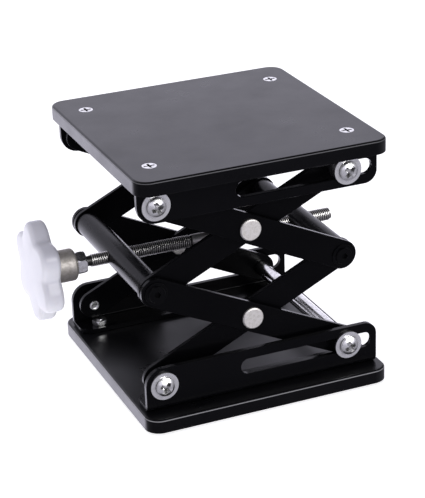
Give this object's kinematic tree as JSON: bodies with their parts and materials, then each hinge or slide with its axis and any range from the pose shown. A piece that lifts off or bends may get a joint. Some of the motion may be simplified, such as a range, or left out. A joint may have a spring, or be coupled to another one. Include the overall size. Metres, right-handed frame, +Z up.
{
  "type": "lab jack",
  "caption": "Small scissor lab jack: a square platform raised over a square base by a hand knob on a lead screw with opposite threads.",
  "frame": {"origin": "on the plane that the four rubber feet rest on, under the middle of the whole jack, knob included; the middle of the plates is at x = 0.0136", "axes": "+X along the lead screw, away from the knob; +Y across the jack, from the front brackets to the rear ones; +Z up"},
  "size_m": [0.1272, 0.1, 0.1012],
  "materials": {
    "plate_paint": "satin black powder coat",
    "bracket_paint": "satin black paint",
    "arm_paint": "satin black paint",
    "bar_black": "black oxide, polished",
    "black_screw": "black oxide",
    "polished_steel": "polished",
    "thread_steel": "machined thread",
    "zinc_steel": "bright zinc plate",
    "nickel": "nickel plate",
    "rivet_metal": "flat headed rivet",
    "knob_plastic": "moulded white plastic",
    "foot_rubber": "matt"
  },
  "bodies": {
    "base": {"base_plate": "plate_paint", "rubber_feet": "foot_rubber", "lower_bracket_front": "bracket_paint", "lower_bracket_rear": "bracket_paint", "base_plate_screws": "zinc_steel", "base_plate_nuts": "zinc_steel", "lower_pivot_washers": "zinc_steel", "lower_pivot_spacers": "black_screw"},
    "lower_inner_arms": {"lower_inner_arm_front": "arm_paint", "lower_inner_arm_rear": "arm_paint", "lower_rivets": "rivet_metal", "lower_pivot_screws": "zinc_steel"},
    "lower_outer_arms": {"lower_outer_arm_front": "arm_paint", "lower_outer_arm_rear": "arm_paint", "lower_slide_rod": "polished_steel", "lower_slide_rod_washers": "zinc_steel", "lower_slide_rod_screws": "zinc_steel", "lower_slide_rod_bushes": "black_screw"},
    "right_crossbar_body": {"right_crossbar": "bar_black", "right_crossbar_screws": "black_screw"},
    "left_crossbar_body": {"left_crossbar": "bar_black", "left_crossbar_screws": "black_screw"},
    "screw_slide": {"jam_nut": "zinc_steel"},
    "screw_and_knob": {"lead_screw": "thread_steel", "knob_insert": "nickel", "knob": "knob_plastic"},
    "upper_inner_arms": {"upper_inner_arm_front": "arm_paint", "upper_inner_arm_rear": "arm_paint", "upper_slide_rod": "polished_steel", "upper_slide_rod_washers": "zinc_steel", "upper_slide_rod_screws": "zinc_steel", "upper_slide_rod_bushes": "zinc_steel", "upper_rivets": "rivet_metal"},
    "upper_outer_arms": {"upper_outer_arm_front": "arm_paint", "upper_outer_arm_rear": "arm_paint", "upper_pivot_screws": "zinc_steel"},
    "platform": {"platform_plate": "plate_paint", "upper_bracket_front": "bracket_paint", "upper_bracket_rear": "bracket_paint", "platform_plate_screws": "zinc_steel", "platform_plate_nuts": "zinc_steel", "upper_pivot_washers": "zinc_steel", "upper_pivot_spacers": "black_screw"}
  },
  "joints": [
    {"name": "knob_turn", "type": "hinge", "parent": "screw_slide", "child": "screw_and_knob", "pos_m": [-0.0464, 0, 0.0531], "axis": [1, 0, 0], "range_deg": [-3285, 7802]},
    {"name": "arm_lift", "type": "hinge", "parent": "base", "child": "lower_inner_arms", "pos_m": [-0.0276, 0, 0.017], "axis": [0, -1, 0], "range_deg": [-16.82, 40.38]},
    {"name": "lower_rivet_hinge", "type": "hinge", "parent": "lower_inner_arms", "child": "lower_outer_arms", "pos_m": [0.01055, 0, 0.03505], "axis": [0, -1, 0], "range_deg": [-81.16, 34.04]},
    {"name": "right_crossbar_hinge", "type": "hinge", "parent": "lower_inner_arms", "child": "right_crossbar_body", "pos_m": [0.04869, 0, 0.0531], "axis": [0, -1, 0], "range_deg": [-40.58, 17.02]},
    {"name": "upper_outer_arm_hinge", "type": "hinge", "parent": "lower_inner_arms", "child": "upper_outer_arms", "pos_m": [0.04869, 0, 0.0531], "axis": [0, -1, 0], "range_deg": [-81.16, 34.04]},
    {"name": "left_crossbar_hinge", "type": "hinge", "parent": "lower_outer_arms", "child": "left_crossbar_body", "pos_m": [-0.0276, 0, 0.0531], "axis": [0, -1, 0], "range_deg": [-17.02, 40.58]},
    {"name": "upper_inner_arm_hinge", "type": "hinge", "parent": "lower_outer_arms", "child": "upper_inner_arms", "pos_m": [-0.0276, 0, 0.0531], "axis": [0, -1, 0], "range_deg": [-34.04, 81.16]},
    {"name": "platform_hinge", "type": "hinge", "parent": "upper_outer_arms", "child": "platform", "pos_m": [-0.0276, 0, 0.08919], "axis": [0, -1, 0], "range_deg": [-17.02, 40.58]},
    {"name": "screw_travel", "type": "slide", "parent": "left_crossbar_body", "child": "screw_slide", "axis": [-1, 0, 0], "range_m": [-0.00747, 0.0175]}
  ],
  "couplings": [
    {"joint": "lower_rivet_hinge", "follows": "arm_lift", "ratio": -2},
    {"joint": "right_crossbar_hinge", "follows": "arm_lift", "ratio": -1},
    {"joint": "upper_outer_arm_hinge", "follows": "arm_lift", "ratio": -2},
    {"joint": "left_crossbar_hinge", "follows": "arm_lift", "ratio": 1},
    {"joint": "upper_inner_arm_hinge", "follows": "arm_lift", "ratio": 2},
    {"joint": "platform_hinge", "follows": "arm_lift", "ratio": 1},
    {"joint": "screw_travel", "follows": "arm_lift", "m_per_rad": 0.024411},
    {"joint": "knob_turn", "follows": "arm_lift", "ratio": 191.73}
  ]
}
